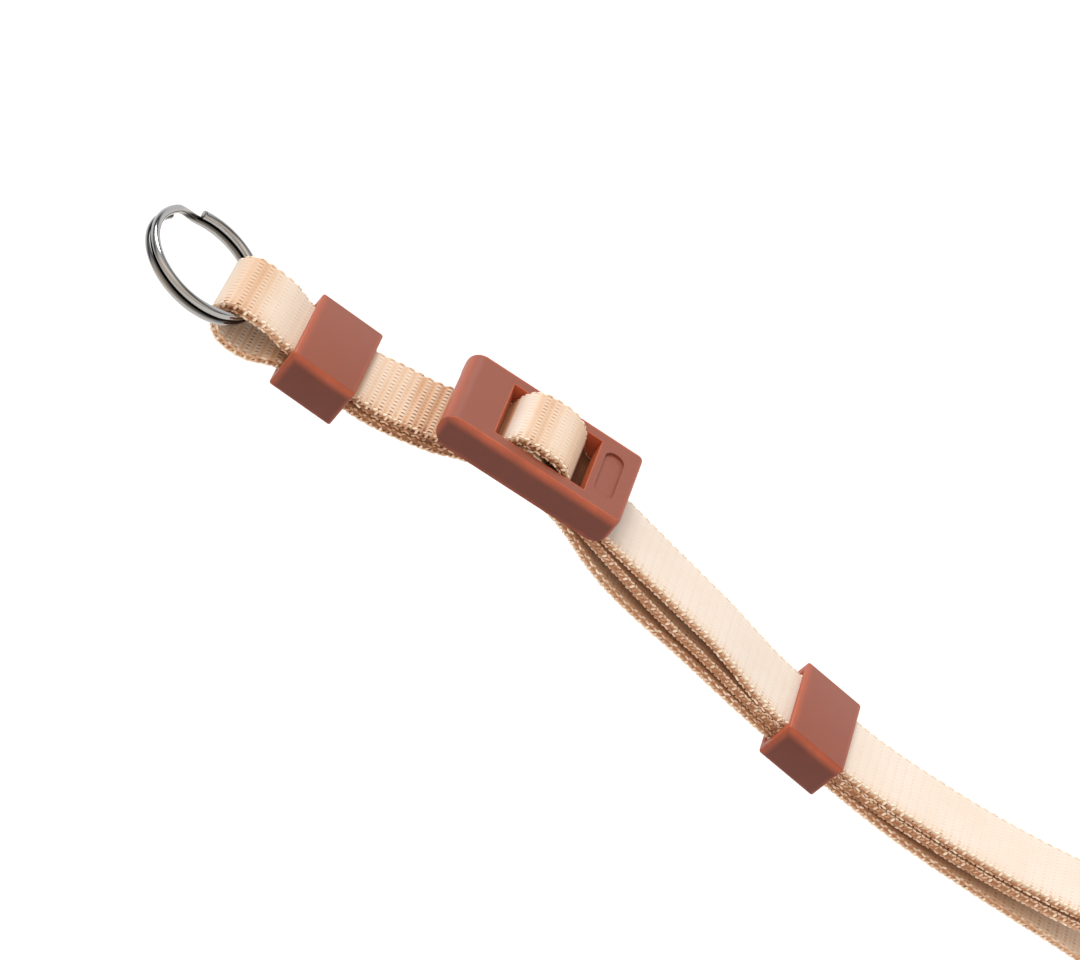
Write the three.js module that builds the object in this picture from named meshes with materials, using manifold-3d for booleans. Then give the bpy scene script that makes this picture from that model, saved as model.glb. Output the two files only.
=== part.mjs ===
// Camera wrist strap: one narrow webbing strip that hangs from a split ring, is doubled through a
// small keeper, adjusted in a slider buckle, gathered by a second keeper and opened out as a loop
// for the wrist.
//
// Millimetres, +Z up. The strip lies in the X-Z plane and its width runs along Y. The origin is the
// place on the inside of the split ring where a camera's strap lug bears.
import * as THREE from 'three';
import * as BufferGeometryUtils from 'three/addons/utils/BufferGeometryUtils.js';
import Module from 'manifold-3d';

const wasm = await Module();
wasm.setup();

// ---------------------------------------------------------------- driving dimensions

const WEBBING = { width: 10, thick: 1.2, arcStep: 8, chordStep: 7, handle: 0.36 };

const RING = { wire: 1.12, radius: 7.9, pitch: 1.2, lean: 41.5, crank: 32, cutAt: 64, step: 6, sides: 10 };

const KEEPER = { along: 9.1, across: 14, thick: 6.1, innerAcross: 10.6, innerThick: 4.6, corner: 0.45 };

const SLIDER = {
  left: 12.8, right: 12.3, across: 14.2, thick: 4.8, barThick: 2.2,
  windowAlong: 13, windowAcross: 10.8, barEdge: 0.8, ramp: 0.9,
  topLeft: 1.9, bottomLeft: 2.6, bottomRight: 2.3, topRight: 0.45,
  centreBar: { along: -1.5, depth: 2.4, wide: 2.2, high: 1.6 },
  recess: { along: 8.85, wide: 2.7, across: 9.2, depth: 0.35 },
};

// Where each hard piece sits on the strap. The slope is the angle of its long axis above +X.
const RING_KEEPER = { x: 20.5, z: -16.3, slope: -34.4 };
const SLIDER_PLACE = { x: 48.5, z: -23.6, slope: -31.5 };    // the middle of the window, on the top face
const WRIST_KEEPER = { x: 82.3, z: -62.8, slope: -40 };
const WRIST_LOOP = { x: 115.4, z: -85.2, slope: -28 };       // where the two legs of the loop part

// The strip's middle line, from its sewn end to its free end, a row for each fold or bend. Each row
// is measured from a hard piece: along its axis, above it, and turned from it by so many degrees.
const ROUTE = [
  // the sewn end, doubled back on the leg below it and wrapped over the slider's centre bar
  { from: SLIDER_PLACE, along: 3.2, above: -3.05, turn: 172 },
  { from: SLIDER_PLACE, along: 1.4, above: -2.65, turn: 146 },
  { from: SLIDER_PLACE, along: 0.6, above: -1.5, turn: 114 },
  { from: SLIDER_PLACE, along: -1.4, above: -0.5, turn: 178 },
  { from: SLIDER_PLACE, along: -3.6, above: -2.4, turn: 270 },
  { from: SLIDER_PLACE, along: -1.7, above: -4.15, turn: 360 },
  // the middle leg, out to the wrist
  { from: SLIDER_PLACE, along: 4.0, above: -4.4, turn: 353 },
  { from: SLIDER_PLACE, along: 10.5, above: -6.1, turn: 342 },
  { from: WRIST_KEEPER, along: -20, above: 1.05, turn: 357 },
  { from: WRIST_KEEPER, along: -4.55, above: 0, turn: 360 },
  { from: WRIST_KEEPER, along: 4.55, above: 0, turn: 360 },
  { from: WRIST_KEEPER, along: 20, above: 1.4, turn: 369 },
  // round the wrist loop
  { from: WRIST_LOOP, along: 0, above: 1.6, turn: 364 },
  { from: WRIST_LOOP, along: 26, above: 10, turn: 386 },
  { from: WRIST_LOOP, along: 51, above: 22.5, turn: 380 },
  { from: WRIST_LOOP, along: 75, above: 24, turn: 343 },
  { from: WRIST_LOOP, along: 93, above: -1, turn: 268 },
  { from: WRIST_LOOP, along: 71, above: -25, turn: 189 },
  { from: WRIST_LOOP, along: 46, above: -20.5, turn: 160 },
  { from: WRIST_LOOP, along: 25, above: -8, turn: 155 },
  { from: WRIST_LOOP, along: 0, above: -2.1, turn: 177 },
  // the bottom leg, back under the slider to the keeper by the ring
  { from: WRIST_KEEPER, along: 20, above: -0.8, turn: 186 },
  { from: WRIST_KEEPER, along: 4.55, above: -1.35, turn: 180 },
  { from: WRIST_KEEPER, along: -4.55, above: -1.35, turn: 180 },
  { from: WRIST_KEEPER, along: -20, above: -0.85, turn: 177 },
  { from: SLIDER_PLACE, along: 13.5, above: -9.75, turn: 157 },
  { from: SLIDER_PLACE, along: 6.7, above: -6.45, turn: 160 },
  { from: SLIDER_PLACE, along: -1.5, above: -5.55, turn: 180 },
  { from: SLIDER_PLACE, along: -6.6, above: -5.75, turn: 192 },
  { from: SLIDER_PLACE, along: -12.5, above: -7.8, turn: 192 },
  { from: RING_KEEPER, along: 4.55, above: -0.55, turn: 177 },
  { from: RING_KEEPER, along: -4.55, above: -1.3, turn: 190 },
  // round the split ring
  { from: RING_KEEPER, along: -9.4, above: -3.1, turn: 188 },
  { from: RING_KEEPER, along: -13.5, above: -2.0, turn: 130 },
  { from: RING_KEEPER, along: -14.9, above: 0.2, turn: 90 },
  { from: RING_KEEPER, along: -12.8, above: 2.3, turn: 4 },
  { from: RING_KEEPER, along: -8.6, above: 2.3, turn: -6 },
  // the upper leg, through the keeper and up over the slider's bar
  { from: RING_KEEPER, along: -4.55, above: 1.35, turn: -2 },
  { from: RING_KEEPER, along: 4.55, above: 1.2, turn: -4 },
  { from: SLIDER_PLACE, along: -19.4, above: -7.35, turn: 6 },
  { from: SLIDER_PLACE, along: -12.4, above: -6.15, turn: 16 },
  { from: SLIDER_PLACE, along: -7.0, above: -4.15, turn: 32 },
  { from: SLIDER_PLACE, along: -4.65, above: -1.9, turn: 78 },
  { from: SLIDER_PLACE, along: -3.85, above: 0.2, turn: 54 },
  { from: SLIDER_PLACE, along: -1.9, above: 1.05, turn: 5 },
  { from: SLIDER_PLACE, along: 0.9, above: 1.1, turn: -5 },
  { from: SLIDER_PLACE, along: 3.3, above: 0.15, turn: -42 },
  { from: SLIDER_PLACE, along: 4.3, above: -1.6, turn: -76 },
  { from: SLIDER_PLACE, along: 6.4, above: -3.4, turn: -16 },
  { from: SLIDER_PLACE, along: 10.5, above: -4.6, turn: -15 },
  // the free end, on top, through the wrist keeper and a little way along the loop
  { from: WRIST_KEEPER, along: -20, above: 3.5, turn: -5 },
  { from: WRIST_KEEPER, along: -4.55, above: 1.35, turn: 0 },
  { from: WRIST_KEEPER, along: 4.55, above: 1.35, turn: 0 },
  { from: WRIST_KEEPER, along: 20, above: 3.0, turn: 9 },
  { from: WRIST_LOOP, along: 0, above: 3.4, turn: 5 },
  { from: WRIST_LOOP, along: 12, above: 5.85, turn: 17 },
];

// ---------------------------------------------------------------- finishes

const nylon = () => new THREE.MeshStandardMaterial({ color: 0xe6c9a3, roughness: 0.75, metalness: 0 });
const plastic = () => new THREE.MeshStandardMaterial({ color: 0x8f4a38, roughness: 0.45, metalness: 0 });
const chrome = () => new THREE.MeshStandardMaterial({ color: 0xc9c9c9, roughness: 0.15, metalness: 1 });

// ---------------------------------------------------------------- helpers

const radians = THREE.MathUtils.degToRad;

// A point measured from a hard piece, in the X-Z plane, with the heading there.
function place({ from, along, above, turn }) {
  const slope = radians(from.slope);
  const x = from.x + along * Math.cos(slope) - above * Math.sin(slope);
  const z = from.z + along * Math.sin(slope) + above * Math.cos(slope);
  return { point: new THREE.Vector2(x, z), heading: slope + radians(turn) };
}

const direction = (angle) => new THREE.Vector2(Math.cos(angle), Math.sin(angle));

// A shape drawn in the X-Z plane, given a thickness across, centred on Y = 0.
function acrossY(shape, across, curveSegments = 5) {
  const geometry = new THREE.ExtrudeGeometry(shape, { depth: across, bevelEnabled: false, curveSegments });
  geometry.rotateX(Math.PI / 2);
  geometry.translate(0, across / 2, 0);
  return geometry;
}

// A rectangle with round corners, as a path to draw or to cut.
function roundedRectangle(path, left, bottom, width, height, corner) {
  const right = left + width;
  const top = bottom + height;
  path.moveTo(left + corner, bottom);
  path.lineTo(right - corner, bottom);
  path.absarc(right - corner, bottom + corner, corner, -Math.PI / 2, 0, false);
  path.lineTo(right, top - corner);
  path.absarc(right - corner, top - corner, corner, 0, Math.PI / 2, false);
  path.lineTo(left + corner, top);
  path.absarc(left + corner, top - corner, corner, Math.PI / 2, Math.PI, false);
  path.lineTo(left, bottom + corner);
  path.absarc(left + corner, bottom + corner, corner, Math.PI, 1.5 * Math.PI, false);
  return path;
}

function toSolid(geometry) {
  const bare = geometry.clone();
  bare.deleteAttribute('normal');
  bare.deleteAttribute('uv');
  const merged = BufferGeometryUtils.mergeVertices(bare, 1e-5);
  return new wasm.Manifold(new wasm.Mesh({
    numProp: 3,
    vertProperties: new Float32Array(merged.attributes.position.array),
    triVerts: new Uint32Array(merged.index.array),
  }));
}

function toGeometry(solid) {
  const mesh = solid.getMesh();
  const geometry = new THREE.BufferGeometry();
  geometry.setAttribute('position', new THREE.BufferAttribute(mesh.vertProperties, 3));
  geometry.setIndex(new THREE.BufferAttribute(mesh.triVerts, 1));
  return geometry;
}

function named(name, geometry, material, at) {
  const mesh = new THREE.Mesh(geometry, material);
  mesh.name = name;
  if (at) {
    mesh.position.set(at.x, 0, at.z);
    mesh.rotation.y = -radians(at.slope);
  }
  return mesh;
}

// ---------------------------------------------------------------- split ring

// Two turns of round wire, side by side. A crank carries the wire from one turn to the other, and
// each cut end lies against the crank.
function splitRing() {
  const crank = radians(RING.crank);
  const fullTurn = 2 * Math.PI;

  class TwoTurns extends THREE.Curve {
    getPoint(t, target = new THREE.Vector3()) {
      const swept = t * (2 * fullTurn - crank);
      const crossed = THREE.MathUtils.smoothstep(swept, fullTurn - crank, fullTurn);
      const angle = radians(RING.cutAt) + swept;
      return target.set(
        -RING.radius * Math.cos(angle),
        RING.radius * Math.sin(angle),
        RING.pitch * (0.5 - crossed),
      );
    }
  }

  const section = new THREE.Shape();
  for (let side = 0; side < RING.sides; side += 1) {
    const corner = direction((side / RING.sides) * fullTurn).multiplyScalar(RING.wire / 2);
    if (side === 0) section.moveTo(corner.x, corner.y);
    else section.lineTo(corner.x, corner.y);
  }
  const steps = Math.round(720 / RING.step);
  const geometry = new THREE.ExtrudeGeometry(section, { steps, extrudePath: new TwoTurns() });
  // The wire's inner edge passes through the origin, where the lug bears.
  geometry.translate(RING.radius - RING.wire / 2, 0, 0);
  return named('split_ring', geometry, chrome(), { x: 0, z: 0, slope: -RING.lean });
}

// ---------------------------------------------------------------- keepers

// A short moulded sleeve, open at both ends, that holds the layers of webbing together.
function keeper(name, at) {
  const { along, across, thick, innerAcross, innerThick, corner } = KEEPER;
  const outline = roundedRectangle(new THREE.Shape(), -across / 2, -thick / 2, across, thick, corner);
  outline.holes.push(
    roundedRectangle(new THREE.Path(), -innerAcross / 2, -innerThick / 2, innerAcross, innerThick, corner),
  );
  const geometry = new THREE.ExtrudeGeometry(outline, { depth: along, bevelEnabled: false, curveSegments: 3 });
  geometry.translate(0, 0, -along / 2);
  // Drawn facing +Z, then stood up so that the sleeve runs along X.
  geometry.rotateX(Math.PI / 2);
  geometry.rotateZ(Math.PI / 2);
  return named(name, geometry, plastic(), at);
}

// ---------------------------------------------------------------- slider buckle

// A moulded frame: two deep side rails, a thinner bar across each end and a hidden bar across the
// middle. The webbing runs between the rails, under the end bars and over the middle one.
function sliderBuckle() {
  const { left, right, across, thick, barThick, windowAlong, windowAcross, barEdge, ramp } = SLIDER;
  const { topLeft, bottomLeft, bottomRight, topRight, centreBar, recess } = SLIDER;

  const side = new THREE.Shape();
  side.moveTo(-left + bottomLeft, -thick);
  side.lineTo(right - bottomRight, -thick);
  side.absarc(right - bottomRight, -thick + bottomRight, bottomRight, -Math.PI / 2, 0, false);
  side.lineTo(right, -topRight);
  side.absarc(right - topRight, -topRight, topRight, 0, Math.PI / 2, false);
  side.lineTo(-left + topLeft, 0);
  side.absarc(-left + topLeft, -topLeft, topLeft, Math.PI / 2, Math.PI, false);
  side.lineTo(-left, -thick + bottomLeft);
  side.absarc(-left + bottomLeft, -thick + bottomLeft, bottomLeft, Math.PI, 1.5 * Math.PI, false);
  const body = toSolid(acrossY(side, across, 6));

  // The window and the channel below the end bars, in one cut. The left bar's wall is a ramp, which
  // the webbing slides up.
  const past = 2;
  const edge = windowAlong / 2;
  const cut = new THREE.Shape();
  cut.moveTo(-left - past, -thick - past);
  cut.lineTo(right + past, -thick - past);
  cut.lineTo(right + past, -barThick);
  cut.lineTo(edge + barEdge, -barThick);
  cut.absarc(edge + barEdge, -barThick + barEdge, barEdge, -Math.PI / 2, -Math.PI, true);
  cut.lineTo(edge, past);
  cut.lineTo(-edge, past);
  cut.lineTo(-edge, 0);
  cut.lineTo(-edge + ramp, -barThick);
  cut.lineTo(-left - past, -barThick);
  const opening = toSolid(acrossY(cut, windowAcross, 4));

  // The centre bar runs a little way into both rails.
  const barOutline = roundedRectangle(
    new THREE.Shape(),
    centreBar.along - centreBar.wide / 2, -centreBar.depth - centreBar.high / 2,
    centreBar.wide, centreBar.high, 0.49 * centreBar.high,
  );
  const bar = toSolid(acrossY(barOutline, (windowAcross + across) / 2, 4));

  // A shallow round-ended hollow in the top of the right end bar.
  const hollow = roundedRectangle(
    new THREE.Shape(), recess.along - recess.wide / 2, -recess.across / 2,
    recess.wide, recess.across, 0.49 * recess.wide,
  );
  const hollowGeometry = new THREE.ExtrudeGeometry(
    hollow, { depth: 2 * recess.depth, bevelEnabled: false, curveSegments: 6 },
  );
  hollowGeometry.translate(0, 0, -recess.depth);

  const solid = body.subtract(opening).add(bar).subtract(toSolid(hollowGeometry));
  return named('slider_buckle', toGeometry(solid), plastic(), SLIDER_PLACE);
}

// ---------------------------------------------------------------- webbing

// Points and headings along the strip's middle line: a cubic between each pair of rows, with more
// steps where it turns more.
function middleLine() {
  const stations = ROUTE.map(place);
  const line = [];
  stations.forEach((start, index) => {
    if (index === stations.length - 1) return;
    const end = stations[index + 1];
    const reach = WEBBING.handle * start.point.distanceTo(end.point);
    const curve = new THREE.CubicBezierCurve(
      start.point,
      start.point.clone().addScaledVector(direction(start.heading), reach),
      end.point.clone().addScaledVector(direction(end.heading), -reach),
      end.point,
    );
    let turned = 0;
    const probes = 12;
    for (let probe = 0; probe < probes; probe += 1) {
      const before = curve.getTangent(probe / probes);
      const after = curve.getTangent((probe + 1) / probes);
      turned += Math.abs(Math.atan2(before.cross(after), before.dot(after)));
    }
    const steps = Math.max(
      Math.ceil(turned / radians(WEBBING.arcStep)),
      Math.ceil(curve.getLength() / WEBBING.chordStep),
    );
    for (let step = 0; step < steps; step += 1) {
      line.push({ point: curve.getPoint(step / steps), along: curve.getTangent(step / steps) });
    }
  });
  const last = stations[stations.length - 1];
  line.push({ point: last.point, along: direction(last.heading) });
  return line;
}

function webbing() {
  const line = middleLine();
  const offset = ({ point, along }, distance) => new THREE.Vector2(
    point.x - along.y * distance,
    point.y + along.x * distance,
  );
  const outline = [
    ...line.map((station) => offset(station, -WEBBING.thick / 2)),
    ...line.map((station) => offset(station, WEBBING.thick / 2)).reverse(),
  ];
  return named('webbing', acrossY(new THREE.Shape(outline), WEBBING.width), nylon());
}

// ---------------------------------------------------------------- the strap

const strap = new THREE.Group();
strap.add(
  splitRing(),
  keeper('keeper_ring_side', RING_KEEPER),
  sliderBuckle(),
  keeper('keeper_wrist_side', WRIST_KEEPER),
  webbing(),
);

export default strap;
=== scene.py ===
import math
from collections import namedtuple

import bpy
from mathutils import Euler, Matrix, Vector, noise
from mathutils.kdtree import KDTree


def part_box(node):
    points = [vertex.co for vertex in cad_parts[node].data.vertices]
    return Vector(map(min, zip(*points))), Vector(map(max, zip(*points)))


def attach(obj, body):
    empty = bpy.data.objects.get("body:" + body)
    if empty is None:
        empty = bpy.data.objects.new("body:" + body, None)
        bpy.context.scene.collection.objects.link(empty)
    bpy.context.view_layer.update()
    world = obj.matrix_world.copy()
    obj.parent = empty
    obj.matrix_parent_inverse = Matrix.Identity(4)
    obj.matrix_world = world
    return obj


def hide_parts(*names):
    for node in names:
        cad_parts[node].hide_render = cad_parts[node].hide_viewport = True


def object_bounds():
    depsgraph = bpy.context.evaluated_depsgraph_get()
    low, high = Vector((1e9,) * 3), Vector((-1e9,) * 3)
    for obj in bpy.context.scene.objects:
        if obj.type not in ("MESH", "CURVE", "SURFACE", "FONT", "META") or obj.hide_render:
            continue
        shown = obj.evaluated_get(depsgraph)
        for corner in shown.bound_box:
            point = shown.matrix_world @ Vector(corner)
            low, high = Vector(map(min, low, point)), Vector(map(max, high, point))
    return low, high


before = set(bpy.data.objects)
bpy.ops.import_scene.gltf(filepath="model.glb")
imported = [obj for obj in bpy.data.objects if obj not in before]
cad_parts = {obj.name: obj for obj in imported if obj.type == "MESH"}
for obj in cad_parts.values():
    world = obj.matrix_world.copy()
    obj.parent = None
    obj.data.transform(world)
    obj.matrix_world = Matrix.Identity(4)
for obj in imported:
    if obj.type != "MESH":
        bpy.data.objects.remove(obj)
cad_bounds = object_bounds()
bpy.ops.object.select_all(action="DESELECT")
mm = 0.001


# ---------------------------------------------------------------- camera
# A long lens a good arm's length away, a little to the right of the strap and above it, aimed just
# under the middle of the buckle.

def middle_of(node):
    low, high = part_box(node)
    return (low + high) / 2


VIEW_AZIMUTH = math.radians(12.86)
VIEW_ELEVATION = math.radians(34.3)
VIEW_DISTANCE = 521.8 * mm
VIEW_ASIDE = Vector((-0.11, 0, -4.76)) * mm
# These two are in millimetres, as a camera counts them.
SENSOR_WIDE = 36
FOCAL_LENGTH = 141.1

aim = middle_of("slider_buckle") + VIEW_ASIDE
view_turn = Euler((math.pi / 2 - VIEW_ELEVATION, 0, VIEW_AZIMUTH))
back_from_aim = view_turn.to_matrix() @ Vector((0, 0, VIEW_DISTANCE))
bpy.ops.object.camera_add(location=aim + back_from_aim, rotation=view_turn)
camera = bpy.context.object
camera.data.sensor_width = SENSOR_WIDE
camera.data.lens = FOCAL_LENGTH
bpy.context.scene.camera = camera


# ---------------------------------------------------------------- split ring
# Spring-steel wire wound as two turns side by side and chromed. A short crank takes the wire from
# one turn to the other, and each cut end lies against the crank.

RING_RADIUS = 7.9 * mm
WIRE = 1.12 * mm
WIRE_SIDES = 22
TURN_PITCH = 1.2 * mm
RING_LEAN = math.radians(41.5)
CRANK = math.radians(32)
CUT_AT = math.radians(64)
CRANK_STEPS = 10
TURN_STEPS = 132
CUT_BEVEL = 0.14 * mm


class Signal:
    """One output of a node tree. Arithmetic on it adds Math nodes."""

    def __init__(self, tree, socket):
        self.tree = tree
        self.socket = socket

    def node(self, kind, settings=None, sockets=None, output=0):
        made = self.tree.nodes.new(kind)
        for name, value in (settings or {}).items():
            if name == "stops":
                ramp = made.color_ramp.elements
                while len(ramp) < len(value):
                    ramp.new(1.0)
                for stop, (position, color) in zip(ramp, value):
                    stop.position = position
                    stop.color = color
            else:
                setattr(made, name, value)
        for name, value in (sockets or {}).items():
            self.feed(made.inputs[name], value)
        return Signal(self.tree, made.outputs[output])

    def feed(self, socket, value):
        if isinstance(value, Signal):
            self.tree.links.new(value.socket, socket)
        else:
            socket.default_value = value

    def math(self, operation, *terms):
        return self.node("ShaderNodeMath", {"operation": operation}, dict(enumerate(terms)))

    def __add__(self, other):
        return self.math("ADD", self, other)

    def __sub__(self, other):
        return self.math("SUBTRACT", self, other)

    def __rsub__(self, other):
        return self.math("SUBTRACT", other, self)

    def __mul__(self, other):
        return self.math("MULTIPLY", self, other)

    def __truediv__(self, other):
        return self.math("DIVIDE", self, other)

    __radd__ = __add__
    __rmul__ = __mul__

    def call(self, operation, *others):
        return self.math(operation, self, *others)

    def between(self, low, high):
        """A smooth change from 0 at low to 1 at high. Low may be the larger of the two."""
        ends = {"Value": self, "From Min": low, "From Max": high}
        return self.node("ShaderNodeMapRange", {"interpolation_type": "SMOOTHSTEP"}, ends)

    def mix(self, low, high):
        """The colour low where this is 0, and high where it is 1."""
        # This node has a set of sockets for each kind of value: 6 and 7 are its colours.
        settings = {"data_type": "RGBA"}
        return self.node("ShaderNodeMix", settings, {0: self, 6: low, 7: high}, output=2)

    def parts(self):
        split = self.node("ShaderNodeSeparateXYZ", None, {0: self})
        return [Signal(self.tree, output) for output in split.socket.node.outputs]

    def mottle(self, scale, detail):
        """Soft random patches over the places that this gives, from 0 to 1."""
        sockets = {"Vector": self, "Scale": scale, "Detail": detail}
        return self.node("ShaderNodeTexNoise", None, sockets)


def shades(*rgb):
    return (*rgb, 1.0)


def new_finish(name, **fixed):
    """A material, its Principled shader, and a signal to start its patterns from."""
    material = bpy.data.materials.new(name)
    material.use_nodes = True
    shader = material.node_tree.nodes["Principled BSDF"]
    for socket, value in fixed.items():
        shader.inputs[socket.replace("_", " ")].default_value = value
    return material, shader, Signal(material.node_tree, None)


def own_place(start, middle, slope):
    """Where a point of a piece is from the piece's middle, in mm along its own sloping axes."""
    turned = {
        "Vector": start.node("ShaderNodeTexCoord", output="Object"),
        "Location": middle, "Rotation": (0, slope, 0), "Scale": (mm, mm, mm),
    }
    return start.node("ShaderNodeMapping", {"vector_type": "TEXTURE"}, turned)


CHROME_CROWN = shades(0.40, 0.395, 0.388)
CHROME_SHADED_GROOVE = shades(0.05, 0.048, 0.046)
# The painted shade in the groove is darkest, and the crowns begin, this far in mm from the plane
# between the turns.
GROOVE_HALF = 0.12
CROWN_FROM = 0.62


def chromed_steel():
    """Bright on the crowns of the wire, and darkened with painted shade in the groove between the turns.
    """
    material, shader, start = new_finish("chromed steel", Metallic=1.0)
    above = own_place(start, middle_of("split_ring"), RING_LEAN).parts()[2]
    crown = above.call("ABSOLUTE").between(GROOVE_HALF, CROWN_FROM)
    start.feed(shader.inputs["Base Color"], crown.mix(CHROME_SHADED_GROOVE, CHROME_CROWN))
    handling = start.node("ShaderNodeTexCoord", output="Object").mottle(900.0, 3.0)
    start.feed(shader.inputs["Roughness"], 0.05 + handling * 0.1)
    return material


def ease(share):
    """A smooth way from 0 to 1."""
    return share * share * (3 - 2 * share)


def select_only(piece, kind, wanted):
    """Goes into edit mode with just the wanted faces or edges selected. Each is known by its lowest
    and highest corner."""
    bpy.context.view_layer.objects.active = piece
    bpy.ops.object.mode_set(mode="EDIT")
    bpy.ops.mesh.select_mode(type=kind)
    bpy.ops.mesh.select_all(action="DESELECT")
    bpy.ops.object.mode_set(mode="OBJECT")
    places = [vertex.co for vertex in piece.data.vertices]
    for part in piece.data.polygons if kind == "FACE" else piece.data.edges:
        corners = [places[index] for index in part.vertices]
        low, high = Vector(map(min, zip(*corners))), Vector(map(max, zip(*corners)))
        part.select = wanted(low, high)
    bpy.ops.object.mode_set(mode="EDIT")


def round_selected(radius, segments):
    bpy.ops.mesh.bevel(offset=radius, segments=segments, affect="EDGES")
    bpy.ops.object.mode_set(mode="OBJECT")


def split_ring():
    start = Vector((-math.cos(CUT_AT), math.sin(CUT_AT), 0)) * RING_RADIUS
    bpy.ops.mesh.primitive_circle_add(
        vertices=WIRE_SIDES, radius=WIRE / 2, location=start + Vector((0, 0, TURN_PITCH / 2)),
        rotation=(math.pi / 2, 0, math.atan2(start.y, start.x)),
    )
    ring = bpy.context.object
    ring.name = "chrome_split_ring"
    bpy.ops.object.transform_apply(location=True, rotation=True)
    bpy.ops.object.mode_set(mode="EDIT")
    bpy.ops.mesh.select_all(action="SELECT")
    around = {"center": (0, 0, 0), "axis": (0, 0, 1)}
    # The turns run clockwise seen from above, which is spin's positive way.
    bpy.ops.mesh.spin(steps=TURN_STEPS, angle=2 * math.pi - CRANK, **around)
    crossed = 0
    for step in range(1, CRANK_STEPS + 1):
        bpy.ops.mesh.spin(steps=1, angle=CRANK / CRANK_STEPS, **around)
        now_crossed = ease(step / CRANK_STEPS)
        bpy.ops.transform.translate(value=(0, 0, -TURN_PITCH * (now_crossed - crossed)))
        crossed = now_crossed
    bpy.ops.mesh.spin(steps=TURN_STEPS, angle=2 * math.pi - CRANK, **around)
    # Both cut ends are closed and their sharp rims taken off.
    bpy.ops.mesh.select_all(action="SELECT")
    bpy.ops.mesh.fill_holes(sides=0)
    bpy.ops.mesh.normals_make_consistent(inside=False)
    select_only(ring, "FACE", lambda low, high: high.z - low.z > WIRE / 2)
    round_selected(CUT_BEVEL, segments=2)
    ring.location = middle_of("split_ring")
    ring.rotation_euler = (0, RING_LEAN, 0)
    bpy.ops.object.transform_apply(location=True, rotation=True)
    bpy.ops.object.shade_smooth_by_angle(angle=math.radians(40))
    ring.data.materials.append(chromed_steel())
    return ring


ring = split_ring()
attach(ring, "root")
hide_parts("split_ring")


# ---------------------------------------------------------------- keepers
# Short sleeves moulded in one shot from a brown, slightly clear plastic, and slid on to the tape
# before it is sewn. They grip its layers by friction alone.

KEEPER_LONG = 9.1 * mm
KEEPER_ACROSS = 14 * mm
KEEPER_THICK = 6.1 * mm
KEEPER_HOLE_ACROSS = 10.6 * mm
KEEPER_HOLE_THICK = 4.6 * mm
# A face is a wall of the hole where it is within these, in mm along, across and above the middle.
KEEPER_HOLE = (-9, 9), (-5.35, 5.35), (-2.35, 2.35)
KEEPER_ROUND = 0.42 * mm
KEEPERS = {"keeper_ring_side": math.radians(34.4), "keeper_wrist_side": math.radians(40)}
PLASTIC_DEEP = shades(0.256, 0.073, 0.043)
# Painted shade on the side faces, which get less of the light.
PLASTIC_SHADED_SIDE = shades(0.124, 0.028, 0.015)
# A painted glow, for the light that gets into the plastic at its edges and in its opening.
PLASTIC_RIM = shades(0.52, 0.110, 0.045)


# A mask changes over this much, in mm.
SOFT = 0.1


def lit(depth, reach, strength):
    """How much light has got in: strength at an outer face, and none at reach mm in from it."""
    return depth.between(reach, SOFT) * strength


def moulded_plastic(name, middle, slope, half, opening):
    """Light gets into the plastic at its edges, and they are painted redder than the broad faces as a
    glow. So are the walls of its opening, a range in mm along, across and above its middle."""
    material, shader, start = new_finish(
        name, Subsurface_Weight=0.15, Subsurface_Scale=0.5 * mm, Subsurface_Radius=(1.0, 0.25, 0.1),
        Specular_IOR_Level=0.33,
    )
    local = own_place(start, middle, slope)
    along, across, above = local.parts()
    half_along, half_across, half_thick = half / mm
    on_side = across.call("ABSOLUTE").between(half_across - 0.35, half_across - 0.1)
    under_rim = on_side * lit(half_thick - above, 1.7, 0.75)
    ring_end = lit(half_along + along, 1.2, 0.5)
    wrist_end = lit(half_along - along, 0.7, 0.3)
    bottom = on_side * lit(half_thick + above, 0.7, 0.2)
    within = [
        part.between(low - SOFT, low) * part.between(high + SOFT, high)
        for part, (low, high) in zip((along, across, above), opening)
    ]
    glow = within[0] * within[1] * within[2] * 0.85
    for edge in (under_rim, ring_end, wrist_end, bottom):
        glow = glow.call("MAXIMUM", edge)
    # The plastic is a little cloudy, which shows most where it glows.
    clouds = local.mottle(0.5, 3.0)
    glow = glow * (0.7 + clouds * 0.6) + (clouds - 0.5) * 0.16
    # The side faces are painted darker, as shade.
    body = on_side.mix(PLASTIC_DEEP, PLASTIC_SHADED_SIDE)
    start.feed(shader.inputs["Base Color"], glow.mix(body, PLASTIC_RIM))
    start.feed(shader.inputs["Roughness"], 0.36 + clouds * 0.16)
    bump = {"Height": local.mottle(7.0, 4.0), "Distance": 0.02 * mm, "Strength": 0.35}
    start.feed(shader.inputs["Normal"], start.node("ShaderNodeBump", None, bump))
    return material


def finish_edges(piece, width, segments):
    """Takes every sharp edge off a finished moulding."""
    bevel = piece.modifiers.new("rounded edges", "BEVEL")
    bevel.width = width
    bevel.segments = segments
    bevel.limit_method = "ANGLE"
    bevel.angle_limit = math.radians(35)
    bpy.context.view_layer.objects.active = piece
    bpy.ops.object.modifier_apply(modifier=bevel.name)
    bpy.ops.object.shade_smooth_by_angle(angle=math.radians(30))


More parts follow.
